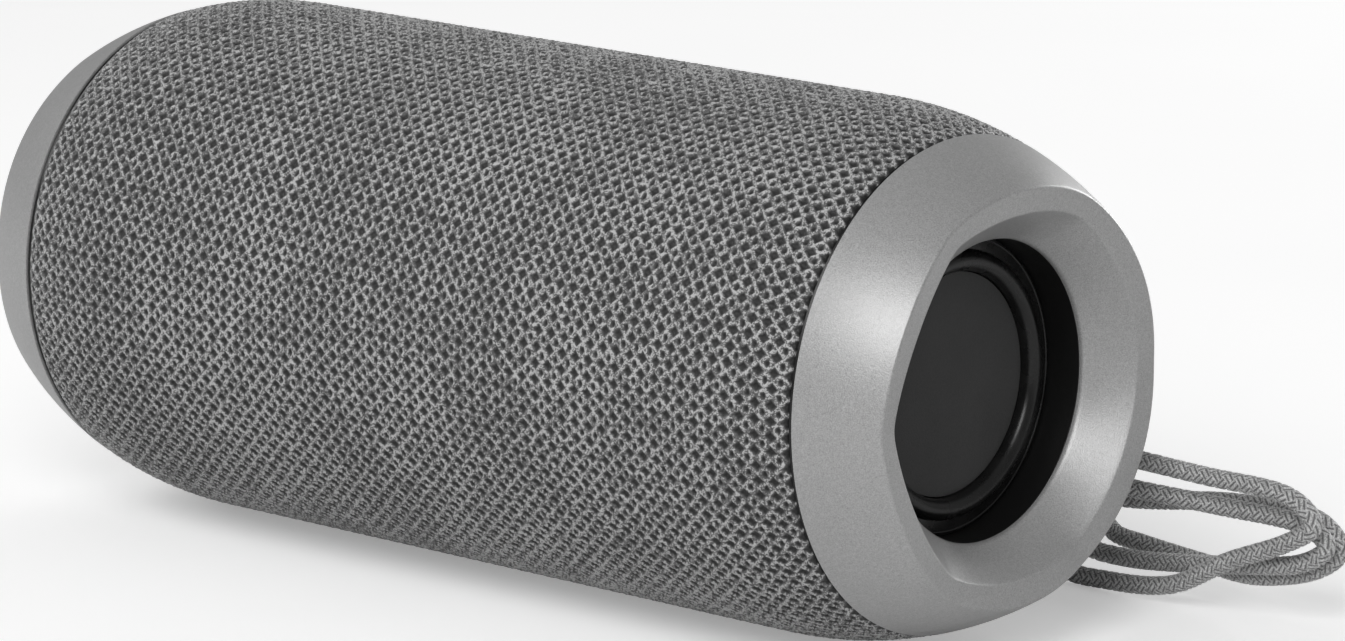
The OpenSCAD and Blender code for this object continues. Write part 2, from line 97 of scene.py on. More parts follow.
def add_mesh(name, points, faces, smooth=True):
    """A mesh object from points in mm and faces as index lists."""
    mesh = bpy.data.meshes.new(name)
    mesh.from_pydata(np.asarray(points, float) * MM, [], [list(f) for f in faces])
    mesh.update()
    if smooth:
        mesh.shade_smooth()
    else:
        mesh.shade_flat()
    obj = bpy.data.objects.new(name, mesh)
    bpy.context.scene.collection.objects.link(obj)
    return obj


def grid_faces(rows, columns, wrap_rows=False, wrap_columns=False):
    """Quads of a grid whose point (i, j) has index i * columns + j."""
    i, j = np.meshgrid(np.arange(rows if wrap_rows else rows - 1),
                       np.arange(columns if wrap_columns else columns - 1), indexing="ij")
    i, j = i.ravel(), j.ravel()
    i2, j2 = (i + 1) % rows, (j + 1) % columns
    return np.stack([i * columns + j, i2 * columns + j, i2 * columns + j2, i * columns + j2], 1)


def around_axis(x, radius, angle):
    """Points at distance radius from the barrel's axis; angle runs from the front towards the top."""
    return np.stack([x + 0 * angle, -radius * np.cos(angle), AXIS_Z + radius * np.sin(angle)], -1)


def smooth_step(value):
    value = np.clip(value, 0, 1)
    return value * value * (3 - 2 * value)


def barrel_radius(x):
    past = np.maximum(np.abs(x), CURVE_START) - CURVE_START
    return BARREL_R - CURVE_R + np.sqrt(CURVE_R ** 2 - past ** 2)


def revolve(name, profile, side, steps):
    """A closed outline of (distance from the middle, radius) turned round the axis, on side -1 or 1."""
    outline = np.array(profile, float)
    angle = np.linspace(0, 2 * math.pi, steps, endpoint=False)
    points = around_axis(side * outline[None, :, 0], outline[None, :, 1], angle[:, None])
    faces = grid_faces(steps, len(outline), True, True)
    return add_mesh(name, points.reshape(-1, 3), faces if side > 0 else faces[:, ::-1])


def arc(centre, radius, start, end, steps):
    """Points of an arc as (x, r). Angles are degrees from outwards towards the barrel's end."""
    a = np.radians(np.linspace(start, end, steps + 1))
    return [(centre[0] + radius * math.sin(t), centre[1] + radius * math.cos(t)) for t in a]


def set_sharp(obj, degrees):
    """Keeps edges sharper than this angle crisp in smooth shading."""
    obj.data.set_sharp_from_angle(angle=math.radians(degrees))


# ---- Node helpers ----

class Shader:
    """Builds one material's nodes."""

    def __init__(self, name):
        self.material = bpy.data.materials.new(name)
        self.material.use_nodes = True
        self.tree = self.material.node_tree
        self.bsdf = self.tree.nodes["Principled BSDF"]

    def node(self, kind, **settings):
        made = self.tree.nodes.new("ShaderNode" + kind)
        for key, value in settings.items():
            setattr(made, key, value)
        return made

    def put(self, socket, value):
        if isinstance(value, bpy.types.NodeSocket):
            self.tree.links.new(value, socket)
        else:
            socket.default_value = value

    def math(self, operation, *values):
        made = self.node("Math", operation=operation)
        for socket, value in zip(made.inputs, values):
            self.put(socket, value)
        return made.outputs[0]

    def ramp(self, value, low, high, to_low=0.0, to_high=1.0):
        """Maps low..high smoothly to to_low..to_high."""
        made = self.node("MapRange", interpolation_type="SMOOTHSTEP")
        for socket, item in zip(made.inputs, (value, low, high, to_low, to_high)):
            self.put(socket, item)
        return made.outputs[0]

    def place(self):
        """Position in the row frame at rest, in metres."""
        return self.node("TexCoord").outputs["Object"]

    def noise(self, per_mm, detail):
        """Noise with per_mm features to the millimetre."""
        made = self.node("TexNoise")
        self.put(made.inputs["Vector"], self.place())
        made.inputs["Scale"].default_value = per_mm / MM
        made.inputs["Detail"].default_value = detail
        return made.outputs["Fac"]

    def colours(self, value, *stops):
        """A colour ramp through (position, (r, g, b)) stops."""
        made = self.node("ValToRGB")
        ramp = made.color_ramp
        while len(ramp.elements) < len(stops):
            ramp.elements.new(0.5)
        for element, (position, colour) in zip(ramp.elements, stops):
            element.position = position
            element.color = (*colour, 1)
        self.put(made.inputs[0], value)
        return made.outputs[0]

    def bump(self, height, distance, strength, normal=None):
        """A bump whose height, from 0 to 1, stands for distance in mm."""
        made = self.node("Bump")
        made.inputs["Strength"].default_value = strength
        made.inputs["Distance"].default_value = distance * MM
        self.put(made.inputs["Height"], height)
        if normal is not None:
            self.put(made.inputs["Normal"], normal)
        return made.outputs[0]

    def set(self, **inputs):
        for key, value in inputs.items():
            self.put(self.bsdf.inputs[key.replace("_", " ")], value)
        return self.material


def grey(value):
    return (value, value, value)


MOULDED_EDGE = 0.15     # how far a moulded piece's edges look rounded
MOULDED_SPREAD = 0.12   # how much lighter and darker its colour clouds are


def moulded(name, colour, roughness, grain, per_mm, **extra):
    """Moulded plastic or metal: grain of per_mm features to the mm, cloudy colour, soft edges."""
    s = Shader(name)
    cloud = s.noise(0.06, 2)
    fine = s.noise(per_mm, 4)
    low = tuple(c * (1 - MOULDED_SPREAD) for c in colour)
    high = tuple(min(1, c * (1 + MOULDED_SPREAD)) for c in colour)
    tint = s.colours(s.math("ADD", s.math("MULTIPLY", cloud, 0.5), s.math("MULTIPLY", fine, 0.5)),
                     (0.35, low), (0.65, high))
    soft = s.node("Bevel", samples=4)
    soft.inputs["Radius"].default_value = MOULDED_EDGE * MM
    return s.set(Base_Color=tint, Roughness=s.ramp(fine, 0.3, 0.7, roughness * 0.88, roughness * 1.12),
                 Normal=s.bump(fine, grain, 1.0, soft.outputs[0]), **extra)


# ---- Fabric sleeve ----

CELL_X = 2.285          # pitch of the knit along the barrel
CELLS_ROUND = 103       # rows of the knit round the barrel
CELL_S = 2 * math.pi * BARREL_R / CELLS_ROUND
ROW_TILT = 0.053        # the rows run this far down for each mm along the barrel
THREAD_PITCH = 1 / math.hypot(1 / CELL_X, 1 / CELL_S)
THREAD_R = 0.21         # of the diagonal threads
THREAD_HEIGHT = 0.85    # of the threads, where a loop has 1
EYELET = (0.56, 0.74)   # half width and half height of the loops
LOOP_R = 0.2            # of the looped thread
KNIT_DEPTH = 0.5
KNIT_WOBBLE = 0.16      # how unevenly the yarn runs, in cells
STEPS = 6               # mesh steps to a cell
HEM = 0.7
END_RUN = 0.9           # the relief dies away over this length at each end of the sleeve
END_SINK = 0.35         # and the fabric dips this far into the seam
WINDOW_CORNER = 0.3
SNAP_REACH = 0.5        # points nearer than this to a window's edge move onto it
SNAP_PASSES = 3


def fraction(value):
    return value - np.floor(value)


def knit_height(a, b):
    """Height of the knit from 0 to 1 at column a and row b.

    Loops stand round the half numbers, and the gaps lie at the whole ones.
    """
    heights = []
    for line in (a + b, a - b):
        away = np.abs(fraction(line) - 0.5) * THREAD_PITCH
        heights.append(THREAD_HEIGHT * np.exp(-(away / THREAD_R) ** 2))
    loop_x = (fraction(a) - 0.5) * CELL_X / EYELET[0]
    loop_y = (fraction(b) - 0.5) * CELL_S / EYELET[1]
    ring = (np.hypot(loop_x, loop_y) - 1) * EYELET[0]
    heights.append(np.exp(-(ring / LOOP_R) ** 2))
    return np.clip(np.max(heights, axis=0), 0, 1)


def rounded_box(x, y, half_x, half_y, corner):
    """Signed distance to a rectangle with round corners."""
    dx, dy = np.abs(x) - half_x + corner, np.abs(y) - half_y + corner
    outside = np.hypot(np.maximum(dx, 0), np.maximum(dy, 0))
    return outside + np.minimum(np.maximum(dx, dy), 0) - corner


def window_distance(points):
    """Signed distance, in the direction each window is cut, to the nearest opening in the sleeve."""
    x, y, z = points.T
    far = 99.0
    rear = np.where(y > 0, 0, far)
    panel = rounded_box(x, z - AXIS_Z, PANEL_HALF + WINDOW_GAP, PANEL_H / 2 + WINDOW_GAP, PANEL_CORNER)
    lug = rounded_box(x - PIN_X, z - LUG_Z, LUG_W / 2 + WINDOW_GAP, LUG_H / 2 + WINDOW_GAP,
                      WINDOW_CORNER)
    foot = rounded_box(x, y, FOOT_HIGH.x + WINDOW_GAP, FOOT_HIGH.y + WINDOW_GAP, WINDOW_CORNER)
    below = np.where(z < AXIS_Z, 0, far)
    return np.minimum(np.minimum(panel + rear, lug + rear), foot + below)


def snap_to_window(points):
    """Moves points near a window's edge onto it, along the barrel's surface."""
    probe = 0.01
    steepest = 2    # a steeper slope is the jump between front and rear or top and bottom
    for _ in range(SNAP_PASSES):
        distance = window_distance(points)
        slope = np.zeros_like(points)
        for axis in range(3):
            step = np.zeros(3)
            step[axis] = probe
            slope[:, axis] = (window_distance(points + step) - distance) / probe
        slope[np.abs(slope) > steepest] = 0
        radial = points - [0, 0, AXIS_Z]
        radial[:, 0] = 0
        radius = np.linalg.norm(radial, axis=1, keepdims=True)
        points = points - slope * np.clip(distance, -SNAP_REACH, SNAP_REACH)[:, None]
        radial = points - [0, 0, AXIS_Z]
        radial[:, 0] = 0
        points[:, 1:] = radial[:, 1:] * radius / np.linalg.norm(radial, axis=1, keepdims=True)
        points[:, 2] += AXIS_Z
    return points


def sleeve_mesh():
    """The knitted sleeve: threads, loops and gaps in relief, with the windows cut out. add_hem folds the
    hems in at every edge.
    """
    bend = CURVE_R * math.asin((SLEEVE_END - CURVE_START) / CURVE_R)
    half = CURVE_START + bend
    columns = round(2 * half / CELL_X) * STEPS
    rows = CELLS_ROUND * STEPS
    along = np.linspace(-half, half, columns + 1)[:, None]
    turn = (np.maximum(np.abs(along), CURVE_START) - CURVE_START) / CURVE_R
    x = np.sign(along) * (np.minimum(np.abs(along), CURVE_START) + CURVE_R * np.sin(turn))
    angle = 2 * math.pi * np.arange(rows)[None, :] / rows - ROW_TILT * x / BARREL_R
    height = knit_height(np.arange(columns + 1)[:, None] / STEPS, np.arange(rows)[None, :] / STEPS)
    relief = smooth_step((half - np.abs(along)) / END_RUN)
    sunk = KNIT_DEPTH * (1 - height) * relief + END_SINK * (1 - relief)
    x_out = x - np.sign(along) * np.sin(turn) * sunk
    radius = BARREL_R - CURVE_R * (1 - np.cos(turn)) - np.cos(turn) * sunk
    points = around_axis(x_out, radius, angle).reshape(-1, 3)
    faces = grid_faces(columns + 1, rows, wrap_columns=True)
    middle = points[faces].mean(1)
    kept = window_distance(middle) > 0
    used = np.zeros(len(points), int)
    np.add.at(used, faces[~kept].ravel(), 1)
    rim = used > 0
    points[rim] = snap_to_window(points[rim])
    faces = faces[kept]
    row_of = faces % rows
    row_uv = np.where((row_of.max(1) - row_of.min(1) > 1)[:, None] & (row_of == 0), rows, row_of)
    uv = np.stack([(faces // rows) / STEPS, row_uv / STEPS], -1)
    return points, faces, uv


def add_hem(points, faces, uv):
    """Folds every open edge in towards the axis."""
    edges = np.concatenate([faces[:, [k, (k + 1) % 4]] for k in range(4)])
    edge_uv = np.concatenate([uv[:, [k, (k + 1) % 4]] for k in range(4)])
    key = np.sort(edges, 1)
    _, first, count = np.unique(key[:, 0].astype(np.int64) * len(points) + key[:, 1], return_index=True,
                                return_counts=True)
    open_edges = edges[first[count == 1]]
    open_uv = edge_uv[first[count == 1]]
    rim = np.unique(open_edges)
    inner = points[rim].copy()
    radial = inner[:, 1:] - [0, AXIS_Z]
    inner[:, 1:] -= radial / np.linalg.norm(radial, axis=1, keepdims=True) * HEM
    number = {old: len(points) + k for k, old in enumerate(rim)}
    hem = np.array([[b, a, number[a], number[b]] for a, b in open_edges])
    hem_uv = np.stack([open_uv[:, 1], open_uv[:, 0], open_uv[:, 0], open_uv[:, 1]], 1)
    return np.concatenate([points, inner]), np.concatenate([faces, hem]), np.concatenate([uv, hem_uv])


def drop_unused(points, faces):
    """The same faces without the points that none of them uses."""
    used = np.unique(faces)
    number = np.full(len(points), -1)
    number[used] = np.arange(len(used))
    return points[used], number[faces]


def build_sleeve():
    points, faces, uv = add_hem(*sleeve_mesh())
    points, faces = drop_unused(points, faces)
    sleeve = add_mesh("knitted_sleeve", points, faces)
    layer = sleeve.data.uv_layers.new(name="knit")
    layer.data.foreach_set("uv", uv.reshape(-1).astype(np.float32))
    return sleeve


def knit_material():
    """Grey knit: light threads and loops over dark gaps, with filaments and a soft sheen. Each thread's
    colour darkens from its middle out over its flanks as painted shade, and the near black of the gaps is
    partly the dark holes and partly painted shade.
    """
    s = Shader("fabric_knit")
    uv = s.node("UVMap", uv_map="knit").outputs[0]
    split = s.node("SeparateXYZ")
    s.put(split.inputs[0], uv)
    wobble = s.math("MULTIPLY", s.math("SUBTRACT", s.noise(0.7, 2), 0.5), KNIT_WOBBLE)
    a = s.math("ADD", split.outputs[0], wobble)
    b = s.math("SUBTRACT", split.outputs[1], wobble)
    lift = 200.0    # keeps the row and column sums above zero
    threads = []
    for line in (s.math("ADD", a, b), s.math("SUBTRACT", a, b)):
        away = s.math("ABSOLUTE", s.math("SUBTRACT", s.math("FRACT", s.math("ADD", line, lift)), 0.5))
        threads.append(s.ramp(s.math("MULTIPLY", away, THREAD_PITCH), 0.0, 0.5, 1.0, 0.0))
    loop_x = s.math("MULTIPLY", s.math("SUBTRACT", s.math("FRACT", a), 0.5), CELL_X / EYELET[0])
    loop_y = s.math("MULTIPLY", s.math("SUBTRACT", s.math("FRACT", b), 0.5), CELL_S / EYELET[1])
    round_loop = s.math("SQRT", s.math("ADD", s.math("MULTIPLY", loop_x, loop_x),
                                       s.math("MULTIPLY", loop_y, loop_y)))
    ring = s.math("ABSOLUTE", s.math("SUBTRACT", round_loop, 1.0))
    loops = s.ramp(ring, 0.0, 0.8, 1.0, 0.0)
    thread = s.math("MAXIMUM", s.math("MAXIMUM", threads[0], threads[1]), loops)
    cloud = s.noise(0.05, 3)
    yarn = s.noise(1.8, 3)
    fibre = s.noise(4.5, 2)
    light = s.math("ADD", s.math("MULTIPLY", yarn, 0.6), s.math("MULTIPLY", fibre, 0.6))
    # Painted shade: the colour follows the thread mask, so it darkens from each thread's middle over its
    # flanks into the gaps, whose own darkness partly stands for the holes.
    tone_with_painted_shade = s.math("MULTIPLY", thread, s.ramp(light, 0.4, 0.8, 0.45, 1.3))
    tone_with_painted_shade = s.math("MULTIPLY", tone_with_painted_shade, s.ramp(cloud, 0.3, 0.7, 0.93, 1.07))
    colour = s.colours(tone_with_painted_shade, (0.0, grey(0.005)), (0.22, grey(0.025)), (0.5, grey(0.075)), (0.8, grey(0.18)),
                       (1.0, grey(0.5)))
    height = s.math("ADD", thread, s.math("MULTIPLY", fibre, 0.5))
    return s.set(Base_Color=colour, Roughness=s.ramp(fibre, 0.3, 0.7, 0.38, 0.7), Sheen_Weight=0.2,
                 Sheen_Roughness=0.5, Normal=s.bump(height, 0.16, 0.9))


# ---- End caps ----

CORNER_SWELL = 0.9      # how much farther out the crest lies at its six corners than between them
CORNER_SOFT = 0.05      # radians over which a corner is rounded
CORNER_FILL = 0.35      # share of that rounding given back along the sides
OUTER_ROUND = 0.45      # rounding where the outside turns over onto the crest
INNER_ROUND = 0.6       # rounding where the crest turns down into the funnel
LAND_INNER_R = 24.9     # inner radius of the crest
LAND_TILT = 9.0         # degrees by which the crest leans in
LIP_ROUND = 0.25
LIP_DROP = 0.12         # the bore starts this far behind the lip
RIM_ROUND = 0.2         # rounding of the cap's rim at the seam
RIM_STEP = 0.35         # depth of the step behind that rim
CAP_STEPS = 360
FUNNEL_STEPS = 12


def crest_swell(angle):
    """How far the crest lies outside its mean radius, along a soft hexagon with a corner at the front."""
    sector = math.pi / 3
    past_middle = fraction(angle / sector) * sector - sector / 2
    reach = sector / 2
    away = reach - np.abs(past_middle)
    softened = reach - (np.sqrt(away ** 2 + CORNER_SOFT ** 2) - CORNER_SOFT * CORNER_FILL)
    return CORNER_SWELL * ((softened / reach) ** 2 - 1 / 3)


def cap_profile(swell):
    """One section of an end cap as (distance from the middle, radius), with the crest moved out by swell."""
    reach = CURVE_R - OUTER_ROUND
    round_x = CREST_X - OUTER_ROUND
    mean_slope = math.asin((round_x - CURVE_START) / reach)
    round_r = BARREL_R - CURVE_R + reach * math.cos(mean_slope) + swell / 2
    slope = math.acos((round_r - BARREL_R + CURVE_R) / reach)
    round_x = CURVE_START + reach * math.sin(slope)
    start = math.degrees(math.asin((SEAM_X - CURVE_START) / CURVE_R))
    slope = math.degrees(slope)
    outside = arc((CURVE_START, BARREL_R - CURVE_R), CURVE_R, start, slope, 16)
    crest = arc((round_x, round_r), OUTER_ROUND, slope, 90 + LAND_TILT, 8)
    land_r = LAND_INNER_R + swell
    land_x = crest[-1][0] - (crest[-1][1] - land_r) * math.tan(math.radians(LAND_TILT))
    funnel_turn = 90 + math.degrees(math.atan2(land_x - OPENING_X, land_r - OPENING_R))
    inner = arc((land_x - INNER_ROUND, land_r), INNER_ROUND, 90 + LAND_TILT, funnel_turn, 6)
    last = np.array(inner[-1])
    lip = np.array([OPENING_X, OPENING_R])
    along = (lip - last) / np.linalg.norm(lip - last)
    funnel = [tuple(last + (lip - last) * k / FUNNEL_STEPS) for k in range(1, FUNNEL_STEPS)]
    funnel.append(tuple(lip - along * LIP_ROUND))
    seam_r = barrel_radius(SEAM_X)
    face_x = SEAM_X + SEAM_GAP
    rim = [(face_x, seam_r - RIM_STEP), (face_x, seam_r - RIM_ROUND),
           (face_x + RIM_ROUND / 2, seam_r - RIM_ROUND / 5)]
    inside = [(OPENING_X - LIP_DROP, OPENING_R), (COLLAR_X, OPENING_R), (COLLAR_X, COLLAR_R),
              (SEAT_X, COLLAR_R), (SEAT_X, HOLLOW_R[0]), (HOLLOW_X, HOLLOW_R[0]),
              (HOLLOW_X, HOLLOW_R[1]), (SEAT_X, HOLLOW_R[1]), (SEAT_X, FLANGE_R),
              (SPIGOT_X, FLANGE_R), (SPIGOT_X, SPIGOT_R), (face_x, SPIGOT_R)]
    return rim + outside[1:] + crest[1:] + inner + funnel + inside


def build_cap(side):
    """The shell of an end cap, on side -1 or 1."""
    angle = np.linspace(0, 2 * math.pi, CAP_STEPS, endpoint=False)
    sections = np.array([cap_profile(swell) for swell in crest_swell(angle)])
    points = around_axis(side * sections[:, :, 0], sections[:, :, 1], angle[:, None])
    faces = grid_faces(CAP_STEPS, sections.shape[1], True, True)
    name = "end_cap_shell_right" if side > 0 else "end_cap_shell_left"
    cap = add_mesh(name, points.reshape(-1, 3), faces[:, ::-1] if side > 0 else faces)
    set_sharp(cap, 50)
    return cap


def cap_material():
    """Satin paint over plastic: fine metallic speckle and a slight haze."""
    s = Shader("cap_satin")
    speckle = s.noise(6.0, 2)
    grain = s.noise(2.2, 4)
    cloud = s.noise(0.03, 2)
    mix = s.math("ADD", s.math("MULTIPLY", speckle, 0.75), s.math("MULTIPLY", grain, 0.25))
    mix = s.math("ADD", mix, s.math("MULTIPLY", s.math("SUBTRACT", cloud, 0.5), 0.15))
    colour = s.colours(mix, (0.3, grey(0.30)), (0.5, grey(0.40)), (0.7, grey(0.50)))
    return s.set(Base_Color=colour, Metallic=0.45, Roughness=s.ramp(speckle, 0.3, 0.7, 0.35, 0.47),
                 Normal=s.bump(mix, 0.04, 0.8))


# ---- Passive radiators ----

ROLL_X = DISC_X + 0.55  # the foot of the half roll
ROLL_R = (15.0, 17.9)   # its inner and outer radius
RUBBER_T = 0.5
RING_R = 19.95          # outside of the flat ring round the roll
RING_EDGE = 0.08
BEAD_R = 19.5           # the thin bead on that ring
BEAD_ROUND = 0.22
ROLL_STEPS = 240


def bulge(points):
    """The points of an arc across the radius, turned so that all stand out of the end."""
    return [(ROLL_X + abs(x - ROLL_X), r) for x, r in points]


def surround_profile():
    """Section of the rubber surround: inner skirt, half roll, flat ring with a thin bead."""
    inner_r, outer_r = ROLL_R
    centre = (ROLL_X, (inner_r + outer_r) / 2)
    roll = (outer_r - inner_r) / 2
    top = bulge(arc(centre, roll, 180, 0, 28))
    bead = bulge(arc((ROLL_X, BEAD_R), BEAD_ROUND, 180, 0, 8))
    ring = [(ROLL_X, RING_R - RING_EDGE), (ROLL_X - RING_EDGE, RING_R), (ROLL_X - RUBBER_T, RING_R),
            (ROLL_X - RUBBER_T, outer_r - 0.3)]
    under = bulge(arc(centre, roll - RUBBER_T, 0, 180, 20))
    return [(SKIRT_X, inner_r)] + top + bead + ring + under + [(SKIRT_X, inner_r + RUBBER_T)]


def build_surround(side):
    """The rubber roll round a radiator's disc, on side -1 or 1."""
    name = "radiator_roll_right" if side > 0 else "radiator_roll_left"
    roll = revolve(name, surround_profile(), side, ROLL_STEPS)
    set_sharp(roll, 60)
    return roll


def rubber_material():
    """Soft black rubber, slightly dusty."""
    s = Shader("rubber_soft_black")
    dust = s.noise(0.25, 4)
    fine = s.noise(7.0, 3)
    colour = s.colours(dust, (0.3, grey(0.005)), (0.75, grey(0.012)))
    return s.set(Base_Color=colour, Roughness=s.ramp(dust, 0.3, 0.75, 0.22, 0.32), Specular_IOR_Level=0.38,
                 Normal=s.bump(fine, 0.012, 0.8))


def disc_material():
    """Matt plate with a fine pressed grain."""
    s = Shader("radiator_matt")
    fine = s.noise(5.0, 3)
    cloud = s.noise(0.08, 3)
    colour = s.colours(s.math("ADD", s.math("MULTIPLY", fine, 0.5), s.math("MULTIPLY", cloud, 0.5)),
                       (0.3, grey(0.030)), (0.7, grey(0.048)))
    return s.set(Base_Color=colour, Roughness=0.72, Normal=s.bump(fine, 0.03, 0.8))


# ---- Foot and port cover ----

RIB_PITCH = 2.0
RIB_DEPTH = 0.22
FOOT_CORNER = 0.8
FOOT_EDGE = (0.5, 0.8)  # height and width of the foot's rounded edge
FOOT_TIP = 0.2          # half the foot's width at its very ends
FOOT_GRID = (281, 33)
COVER_GRID = (71, 189)
COVER_CORNER = 1.8
COVER_EDGE = 0.45       # rounding of the cover's outer edge
COVER_GROOVE = 1.3      # the line pressed into the cover runs this far inside its edge
GROOVE_DEPTH = 0.2
GROOVE_HALF = 0.25
SCOOP_HALF = (5.0, 2.0) # the finger scoop at the cover's upper edge
SCOOP_DEPTH = 0.7
MARK_Y = 37.25          # the marks on the buttons stand out past this


def closed_sheet(name, outer, inner):
    """A closed solid between two grids of points with the same rows and columns."""
    rows, columns = outer.shape[:2]
    count = rows * columns
    flat = grid_faces(rows, columns)
    edge = np.concatenate([np.arange(columns), np.arange(1, rows) * columns + columns - 1,
                           (rows - 1) * columns + np.arange(columns - 2, -1, -1),
                           np.arange(rows - 2, 0, -1) * columns])
    after = np.roll(edge, -1)
    walls = np.stack([edge, after, after + count, edge + count], 1)
    points = np.concatenate([outer.reshape(-1, 3), inner.reshape(-1, 3)])
    return add_mesh(name, points, np.concatenate([flat, flat[:, ::-1] + count, walls]))


def corner_inset(past, corner):
    """How far a round corner draws in at a place that lies past into it."""
    return corner - np.sqrt(corner ** 2 - np.clip(past, 0, corner) ** 2)


def build_foot():
    """A rubber runner along the bottom, ribbed across, that follows the barrel on its inside."""
    half_x, half_y = FOOT_HIGH.x, FOOT_HIGH.y
    x = np.linspace(-half_x, half_x, FOOT_GRID[0])[:, None]
    width = half_y - corner_inset(np.abs(x) - half_x + FOOT_CORNER, FOOT_CORNER)
    width = np.maximum(width, FOOT_TIP)
    y = np.linspace(-1, 1, FOOT_GRID[1])[None, :] * width
    x = x + 0 * y
    rib = RIB_DEPTH * (0.5 - 0.5 * np.cos(2 * math.pi * x / RIB_PITCH)) ** 3
    inside = -rounded_box(x, y, half_x, half_y, FOOT_CORNER)
    edge = FOOT_EDGE[0] * (1 - smooth_step(inside / FOOT_EDGE[1]))
    seat_r = BARREL_R - FABRIC_T
    seat = AXIS_Z - np.sqrt(seat_r ** 2 - y ** 2)
    bottom = np.stack([x, y, rib + edge], -1)
    foot = closed_sheet("ribbed_foot", bottom[:, ::-1], np.stack([x, y, seat], -1)[:, ::-1])
    set_sharp(foot, 40)
    return foot


def build_cover():
    """The rubber flap over the ports: soft edges, a pressed line and a scoop for a fingertip."""
    low, high = (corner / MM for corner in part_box("port_cover"))
    middle = (low + high) / 2
    half_x, half_z = (high.x - low.x) / 2, (high.z - low.z) / 2
    z = np.linspace(-half_z, half_z, COVER_GRID[0])[:, None]
    width = half_x - corner_inset(np.abs(z) - half_z + COVER_CORNER, COVER_CORNER)
    x = np.linspace(-1, 1, COVER_GRID[1])[None, :] * width
    z = z + 0 * x
    inside = -rounded_box(x, z, half_x, half_z, COVER_CORNER)
    edge = COVER_EDGE - np.sqrt(COVER_EDGE ** 2 - np.clip(COVER_EDGE - inside, 0, COVER_EDGE) ** 2)
    groove = GROOVE_DEPTH * np.exp(-((inside - COVER_GROOVE) / GROOVE_HALF) ** 2)
    scoop = np.hypot(x / SCOOP_HALF[0], (z - half_z) / SCOOP_HALF[1])
    scooped = SCOOP_DEPTH * (1 - smooth_step(scoop))
    radius = high.y - edge - groove - scooped
    outer = np.stack([middle.x + x, np.sqrt(radius ** 2 - z ** 2), middle.z + z], -1)
    inner_r = high.y - COVER_T
    inner = np.stack([middle.x + x, np.sqrt(inner_r ** 2 - z ** 2), middle.z + z], -1)
    cover = closed_sheet("port_flap_cover", outer, inner)
    set_sharp(cover, 50)
    return cover


def button_material():
    """Dark soft-touch plastic; the raised mark on each face is printed light grey."""
    s = Shader("button_moulded")
    split = s.node("SeparateXYZ")
    s.put(split.inputs[0], s.place())
    marked = s.ramp(split.outputs[1], MARK_Y * MM, (MARK_Y + 0.05) * MM)
    fine = s.noise(5.0, 3)
    tint = s.node("Mix", data_type="RGBA")
    s.put(tint.inputs["Factor"], marked)
    dark = s.colours(fine, (0.3, grey(0.030)), (0.7, grey(0.042)))
    light = s.colours(fine, (0.3, grey(0.50)), (0.7, grey(0.60)))
    colour_inputs = [socket for socket in tint.inputs if socket.type == "RGBA"]
    s.put(colour_inputs[0], dark)
    s.put(colour_inputs[1], light)
    colour = [socket for socket in tint.outputs if socket.type == "RGBA"][0]
    soft = s.node("Bevel", samples=4)
    soft.inputs["Radius"].default_value = 0.2 * MM
    return s.set(Base_Color=colour, Roughness=s.ramp(fine, 0.3, 0.7, 0.42, 0.55),
                 Normal=s.bump(fine, 0.02, 1.0, soft.outputs[0]))


# ---- Strap ----

STRANDS = 8             # strands of the braid in each direction
BRAID_PITCH = 7.6       # length in which a strand goes once round the cord
CORD_SIDES = 32
CORD_STEP = 0.16
CORD_TURNS = 3
CORD_SLACK = 0.3        # between the cord and the pin it goes round
SPLINE_STEPS = 24       # points between two of the route's corners
BRAID_RELIEF = 0.2


def strap_turn(t):
    """Middle of the cord in turn t, the same route as in the CAD."""
    top = LUG_Z + (1 - t) * CORD_PITCH
    wrap = PIN_R + CORD_R + CORD_SLACK
    far_y = PIN_Y - 1.2 + 3.1 * t
    low_y = PIN_Y + 1.6 + 3.6 * t
    low_z = (1.5, 4, 5.3)[t]
    return np.array([
        (PIN_X, PIN_Y - wrap, top), (PIN_X + 12, PIN_Y - (1.7, 1.1, -1.5)[t], (20.2, 15.9, 13.5)[t]),
        (PIN_X + 27, far_y - 0.4, (19.7, 15, 14.9)[t]), (PIN_X + 40, far_y, (19.2, 14.7, 15)[t]),
        (PIN_X + 44.6, far_y + 0.2, (15.8, 12.2, 11.2)[t]), (PIN_X + 40, far_y + 0.4, (12.4, 9, 7.4)[t]),
        (PIN_X + 30, far_y + 1.2, (8.1, 7, 4.9)[t]), (PIN_X + 20, low_y - 0.6, (3, 5.2, 4.6)[t]),
        (PIN_X + 9, low_y, low_z), (PIN_X + (-0.6, 1, 3.5)[t], low_y + 0.6, low_z + 0.6),
        (PIN_X - (5, 3, -1.4)[t], PIN_Y + (4.2, 7.2, 8.4)[t], 8.5 + 0.5 * t),
        (PIN_X - (5.2, 2.8, -1.4)[t], PIN_Y + (4.4, 6.8, 6.6)[t], (17.6, 14.7, 12.8)[t]),
        (PIN_X - (3, 2.5, 2.2)[t], PIN_Y + 2.2, top - 0.1 * t), (PIN_X - 2.5, PIN_Y - 0.8, top)])


def closed_spline(points, steps):
    """A smooth closed curve through points."""
    t = (np.arange(steps) / steps)[None, :, None]
    a, b, c, d = (np.roll(points, 1 - k, axis=0)[:, None] for k in range(4))
    curve = b + t / 2 * (c - a + t * (2 * a - 5 * b + 4 * c - d + t * (3 * b - a - 3 * c + d)))
    return curve.reshape(-1, 3)


def even_spacing(curve, step):
    """The same closed curve with evenly spaced points, and its length."""
    closed = np.vstack([curve, curve[:1]])
    length = np.concatenate([[0], np.cumsum(np.linalg.norm(np.diff(closed, axis=0), axis=1))])
    count = round(length[-1] / step)
    at = np.linspace(0, length[-1], count, endpoint=False)
    return np.stack([np.interp(at, length, closed[:, k]) for k in range(3)], 1), length[-1]


